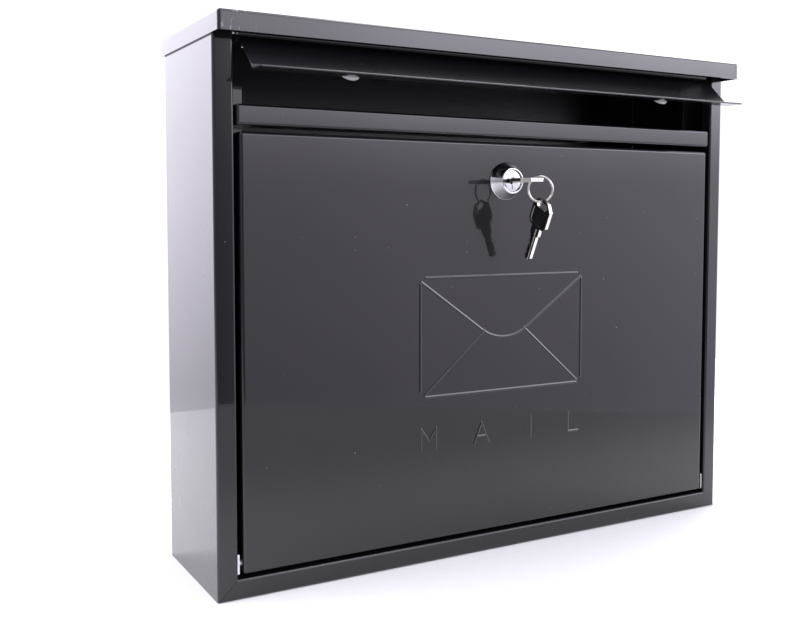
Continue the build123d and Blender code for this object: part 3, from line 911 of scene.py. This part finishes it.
def make_ring(centre):
    """The split ring: one flattened wire in nearly two turns, the second beside the first."""
    across = Vector((cos(RING_TURN), -sin(RING_TURN), 0))
    axis = across.cross(Vector((0, 0, 1)))
    turns = 1.94
    start = radians(70)
    crossing, crossing_length = 0.90, 0.12      # in turns
    wide, thin = 0.86, 0.45                     # the wire's half sizes, as shares of WIRE
    steps, sides = 220, 12
    points = []
    for i in range(steps + 1):
        share = i / steps
        a = 2 * pi * turns * share - start
        spoke = across * cos(a) + Vector((0, 0, sin(a)))
        step = min(max((share * turns - crossing) / crossing_length, 0), 1)
        shift = (step * step * (3 - 2 * step) - 0.5) * WIRE * 2 * thin
        pinch = min(1, (min(i, steps - i) + 1) / 4)
        for j in range(sides):
            b = 2 * pi * j / sides
            points.append(centre + spoke * (RING_R + WIRE * wide * pinch * cos(b))
                          + axis * (shift + WIRE * thin * pinch * sin(b)))
    faces = [[i * sides + j, i * sides + (j + 1) % sides, (i + 1) * sides + (j + 1) % sides,
              (i + 1) * sides + j] for i in range(steps) for j in range(sides)]
    faces += [list(range(sides)), [steps * sides + j for j in range(sides)]]
    ring = make_object("split_ring", points, faces)
    finish(ring, "ring", KEY_METAL, "key_ring", edge=0)


def make_spare(centre):
    """The spare key, hanging by its slot on the lowest point of the ring."""
    spare = key_shape("spare_key_hanging")
    hang = NECK_LENGTH + BOW_LENGTH - SPARE_HANG
    upright = Matrix.Rotation(radians(-90), 4, "X")
    offset = Matrix.Translation(Vector((-SPARE_OFFSET, 0, -hang)) * MM)
    square = Matrix.Rotation(radians(90), 4, "Z")
    lean = Matrix.Rotation(SPARE_LEAN, 4, "X")
    hook = Matrix.Translation((centre - Vector((0, 0, RING_R))) * MM)
    spare.data.transform(hook @ lean @ square @ offset @ upright)
    finish(spare, "spare", NICKEL_WITH_PAINTED_REFLECTION, "spare_key", edge=KEY_EDGE, segments=3)


# ---------------------------------------------------------------- stage
def area_light(name, place, aim, size, power):
    """A soft box that lights the object and isn't seen directly."""
    data = bpy.data.lights.new(name, "AREA")
    data.shape = "RECTANGLE"
    data.size, data.size_y = size
    data.energy = power
    light = bpy.data.objects.new(name, data)
    light.location = place
    light.rotation_euler = (Vector(aim) - Vector(place)).to_track_quat("-Z", "Y").to_euler()
    light.visible_camera = False
    bpy.context.scene.collection.objects.link(light)


def make_floor():
    """Pale table top, cut off at a slant on the right."""
    front_edge, rear_edge = -0.63, 0.42
    left, right_front, right_rear = -3.0, 0.0, 1.4
    floor_z = cad_low.z
    mesh = bpy.data.meshes.new("floor")
    corners = [(left, front_edge, floor_z), (right_front, front_edge, floor_z),
               (right_rear, rear_edge, floor_z), (left, rear_edge, floor_z)]
    mesh.from_pydata(corners, [], [(0, 1, 2, 3)])
    floor = bpy.data.objects.new("floor", mesh)
    floor.data.materials.append(paper_floor("floor_paper"))
    bpy.context.scene.collection.objects.link(floor)


def make_room():
    """White room whose brightness changes with direction."""
    world = bpy.data.worlds.new("studio")
    bpy.context.scene.world = world
    world.use_nodes = True
    tree = world.node_tree
    tree.nodes.clear()
    toward = node(tree, "ShaderNodeTexCoord").outputs["Generated"]
    axes = node(tree, "ShaderNodeSeparateXYZ", {"Vector": toward}).outputs
    forward = maths(tree, "MULTIPLY", axes["Y"], -1.0)
    angle = maths(tree, "ARCTAN2", axes["X"], forward)
    share = remap(tree, angle, -pi, pi, 0.0, 1.0)
    # degrees from straight in front towards +X: brightness low down, what is added from the
    # table's edge upwards, and what is added in a band above the horizon
    stops = ((-180, 1.12, 0.5, 0), (-170, 1.22, 1.87, 0), (-150, 1.22, 1.87, 0), (-120, 0.8, 0.5, 0.2),
             (-60, 0.35, 0.2, 0.1), (0, 0.12, 0.15, 0.2), (12, 0.1, 0.25, 0.4), (20, 0.78, 0.75, 2.3),
             (33, 0.98, 0.78, 4.2), (47, 1.15, 0.8, 4.8), (62, 1.3, 0.8, 4.6), (90, 1.0, 0.3, 0.6),
             (120, 1.08, 0, 0.2), (165, 1.08, 0.1, 0.1), (180, 1.12, 0.5, 0))
    brightest = 6.0
    ramp = node(tree, "ShaderNodeValToRGB", {"Fac": share})
    ramp.color_ramp.interpolation = "EASE"
    elements = ramp.color_ramp.elements
    while len(elements) > 1:
        elements.remove(elements[-1])
    for i, (heading, *strengths) in enumerate(stops):
        position = heading / 360 + 0.5
        stop = elements[0] if i == 0 else elements.new(position)
        stop.position = position
        stop.color = (*(value / brightest for value in strengths), 1)
    levels = node(tree, "ShaderNodeSeparateColor", {"Color": ramp.outputs["Color"]}).outputs
    low_part = maths(tree, "MULTIPLY", levels["Red"], brightest)
    slope = remap(tree, axes["Z"], -0.17, 0.2, 0.0, brightest)
    rising = maths(tree, "MULTIPLY", slope, levels["Green"])
    raised = remap(tree, axes["Z"], 0.02, 0.2, 0.0, brightest, smooth=True)
    lowered = remap(tree, axes["Z"], 0.26, 0.5, 1.0, 0.0, smooth=True)
    band = maths(tree, "MULTIPLY", maths(tree, "MULTIPLY", raised, lowered), levels["Blue"])
    level = maths(tree, "ADD", maths(tree, "ADD", low_part, rising), band)
    light = node(tree, "ShaderNodeBackground", {"Color": (0.99, 0.96, 1.08, 1), "Strength": level})
    output = node(tree, "ShaderNodeOutputWorld")
    tree.links.new(light.outputs["Background"], output.inputs["Surface"])


def make_lights():
    """Three soft boxes: one overhead, one high up behind on the right, one high up on the left."""
    area_light("top_box", (0.55, -0.15, 1.25), (0.25, -0.1, 0.0), (1.7, 0.4), 7.5)
    area_light("right_box", (0.9, 0.5, 0.8), (0.3, 0.1, -0.15), (0.8, 0.8), 8)
    area_light("left_box", (-0.6, -0.1, 0.85), (-0.3, 0.0, -0.15), (0.6, 0.6), 5)


def set_view():
    """Plain colours, without a film look."""
    settings = bpy.context.scene.view_settings
    settings.view_transform = "Standard"
    settings.look = "None"



def make_camera():
    """The photographer's viewpoint: left of the box, a little above its middle."""
    eye = Vector((-0.340638, -0.582981, 0.051348))
    yaw, pitch, roll = radians(29.934), radians(-3.571), radians(0.095)
    ahead = Vector((sin(yaw) * cos(pitch), cos(yaw) * cos(pitch), sin(pitch)))
    right = Vector((cos(yaw), -sin(yaw), 0))
    up = right.cross(ahead)
    axis_x = right * cos(roll) + up * sin(roll)
    axis_y = up * cos(roll) - right * sin(roll)
    turn = Matrix((axis_x, axis_y, -ahead)).transposed().to_4x4()
    data = bpy.data.cameras.new("camera")
    data.sensor_width = 36
    data.lens = 44.62
    data.shift_x = -0.02898
    data.shift_y = -0.04587
    camera = bpy.data.objects.new("camera", data)
    camera.matrix_world = Matrix.Translation(eye) @ turn
    bpy.context.scene.collection.objects.link(camera)
    bpy.context.scene.camera = camera


def carry_over():
    """Give the CAD nodes that stay their finish."""
    finishes = {
        "side_bracket_left": BODY_PAINT, "side_bracket_right": BODY_PAINT,
        "door_hinge_ear_left": ZINC, "door_hinge_ear_right": ZINC,
        "door_hinge_pin_left": ZINC, "door_hinge_pin_right": ZINC,
        "flap_hinge_rod": ZINC, "lock_nut": ZINC, "lock_cam": ZINC, "cam_screw": ZINC,
    }
    for name, material in finishes.items():
        obj = frame["nodes"][name]
        if not obj.material_slots:
            obj.data.materials.append(material)
        for slot in obj.material_slots:
            slot.material = material


make_camera()
make_floor()
make_room()
make_lights()
set_view()
make_body()
make_base()
make_hood()
make_rail()
make_flap()
make_buffer("clear_buffer_left", "flap_buffer_left")
make_buffer("clear_buffer_right", "flap_buffer_right")
make_door()
make_housing()
make_plug()
make_key()
ring_low, ring_high = box("key_ring")
make_ring((ring_low + ring_high) / 2)
make_spare((ring_low + ring_high) / 2)
carry_over()
